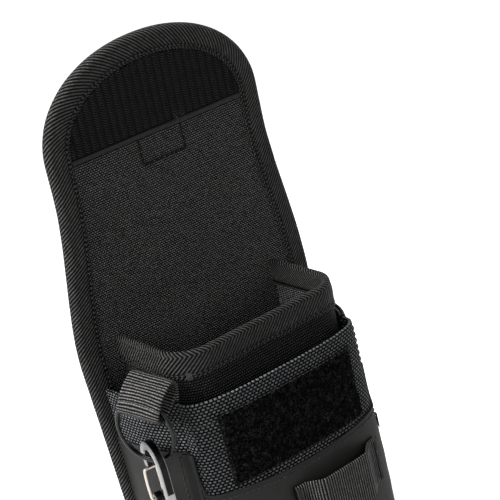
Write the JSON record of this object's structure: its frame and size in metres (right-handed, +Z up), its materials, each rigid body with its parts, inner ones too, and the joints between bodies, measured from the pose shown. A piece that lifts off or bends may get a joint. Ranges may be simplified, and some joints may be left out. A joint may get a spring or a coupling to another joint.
{
  "type": "tool pouch",
  "caption": "Electrician's belt tool pouch with a fold-over lid, front pocket, side sleeves, tape strap, belt loop and a split ring with a wire-gate carabiner.",
  "frame": {"origin": "middle of the flat underside, on the surface the pouch stands on", "axes": "+X to the right across the front, +Y towards the wearer (the belt side), +Z up through the mouth; lid stored standing open"},
  "size_m": [0.1513, 0.0888, 0.2922],
  "materials": {
    "ballistic": "coarse woven nylon, slight sheen",
    "shell": "woven nylon",
    "foam": "closed-cell foam",
    "lining": "fine woven polyester",
    "binding": "twill tape",
    "webbing": "ribbed webbing",
    "coated": "smooth matte rubberised fabric",
    "loop_pile": "fuzzy loop pile",
    "hook_tape": "ribbed hook tape",
    "board": "stiff sheet",
    "thread": "bonded thread",
    "ring_steel": "dark nickel",
    "black_alloy": "black anodised, bright edges",
    "gate_steel": "polished wire"
  },
  "bodies": {
    "root": {"back_outer": "shell", "back_foam": "foam", "back_lining": "lining", "back_binding": "binding", "pocket_front_wall": "shell", "pocket_left_wall": "shell", "pocket_right_wall": "shell", "rim_binding": "binding", "base_panel": "shell", "base_board": "board", "front_pocket_panel": "ballistic", "front_pocket_hem": "ballistic", "loop_patch": "loop_pile", "front_band": "coated", "left_sleeve": "ballistic", "right_sleeve": "ballistic", "left_band": "coated", "right_band": "coated", "left_sleeve_hem": "ballistic", "right_sleeve_hem": "ballistic", "tape_strap": "webbing", "tape_strap_tacks": "thread", "belt_loop": "webbing", "ring_webbing": "webbing"},
    "lid_cover": {"lid_cover_outer": "shell", "lid_cover_foam": "foam", "lid_cover_lining": "lining", "lid_cover_binding": "binding"},
    "lid_tip": {"lid_tip_outer": "shell", "lid_tip_foam": "foam", "lid_tip_lining": "lining", "lid_tip_binding": "binding", "hook_panel": "hook_tape", "hook_edge_tape": "binding", "pull_tab": "webbing"},
    "ring": {"split_ring": "ring_steel"},
    "carabiner": {"carabiner_frame": "black_alloy"},
    "gate": {"carabiner_gate": "gate_steel"}
  },
  "joints": [
    {"name": "lid_fold", "type": "hinge", "parent": "root", "child": "lid_cover", "pos_m": [0, 0.029, 0.152], "axis": [1, 0, 0], "range_deg": [-20, 86.5]},
    {"name": "lid_tip_fold", "type": "hinge", "parent": "lid_cover", "child": "lid_tip", "pos_m": [0, 0.0247, 0.22237], "axis": [1, 0, 0], "range_deg": [-15, 90]},
    {"name": "ring_swing", "type": "hinge", "parent": "root", "child": "ring", "pos_m": [-0.06955, -0.01798, 0.12843], "axis": [-0.3664, 0.9069, 0.2079], "range_deg": [-1, 50]},
    {"name": "carabiner_swing", "type": "hinge", "parent": "ring", "child": "carabiner", "pos_m": [-0.0704, -0.01589, 0.10171], "axis": [-0.3746, 0.9272, 0], "range_deg": [-1, 16]},
    {"name": "gate_open", "type": "hinge", "parent": "carabiner", "child": "gate", "pos_m": [-0.06862, -0.00585, 0.07641], "axis": [0.9848, -0.1736, 0], "range_deg": [0, 24], "stiffness_Nm_per_rad": 0.02}
  ]
}
